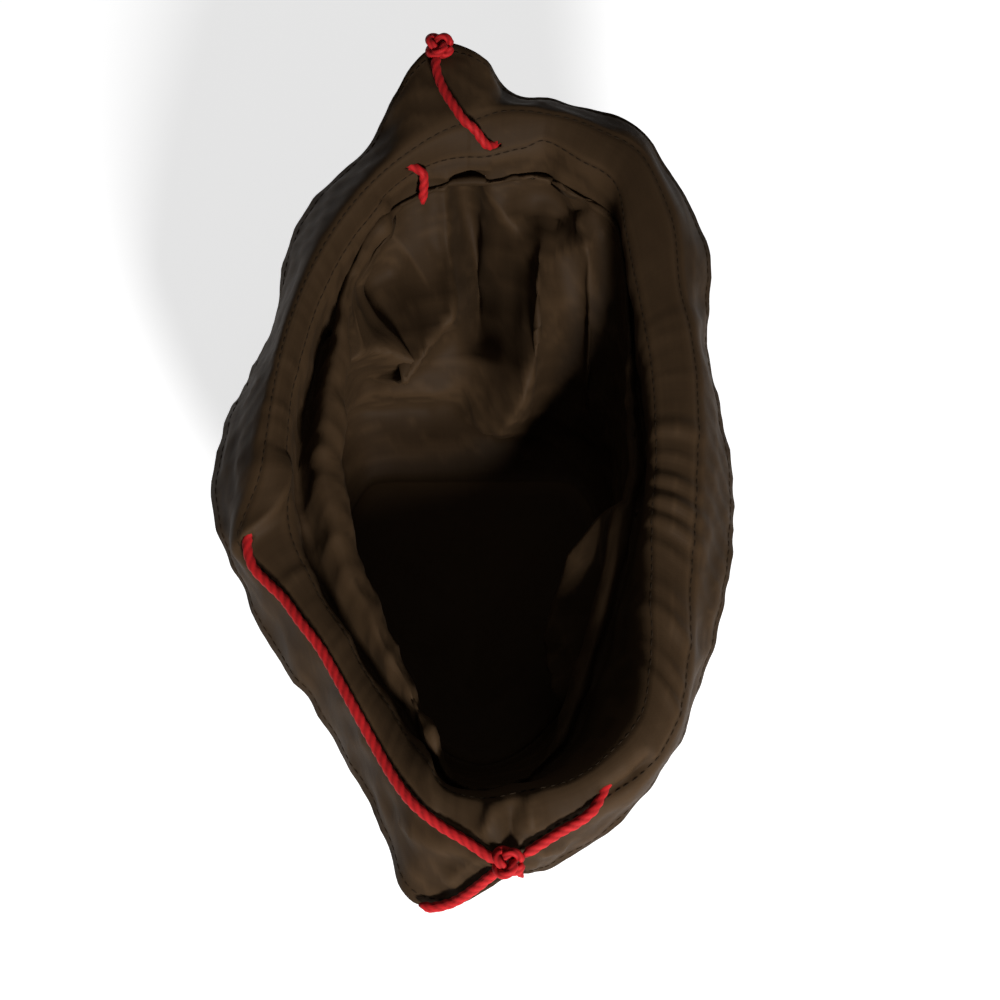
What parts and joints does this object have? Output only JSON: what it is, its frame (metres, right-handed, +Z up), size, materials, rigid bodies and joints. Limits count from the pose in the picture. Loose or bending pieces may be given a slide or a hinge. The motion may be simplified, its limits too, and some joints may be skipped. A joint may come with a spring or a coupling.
{
  "type": "drawstring pouch",
  "caption": "Lined cloth drawstring pouch standing open on its base, with a gathered casing, a flared ruffle and a red cord tied at the near side.",
  "frame": {"origin": "on the floor, under the middle of the pouch's cloth", "axes": "+Z up out of the mouth, +Y away from the knotted side along the mouth's length, +X to the right"},
  "size_m": [0.1792, 0.3013, 0.1181],
  "materials": {
    "shell_cloth": "dark brown plain-woven cotton, matt",
    "lining_cloth": "dark brown thin lining cloth, slightly satiny",
    "red_cord": "red twisted cotton cord"
  },
  "bodies": {
    "root": {"outer_shell": "shell_cloth", "lining": "lining_cloth", "left_draw_cord": "red_cord", "right_draw_cord": "red_cord", "pull_tail": "red_cord", "short_tail": "red_cord", "near_knot": "red_cord", "far_knot": "red_cord"}
  },
  "joints": []
}
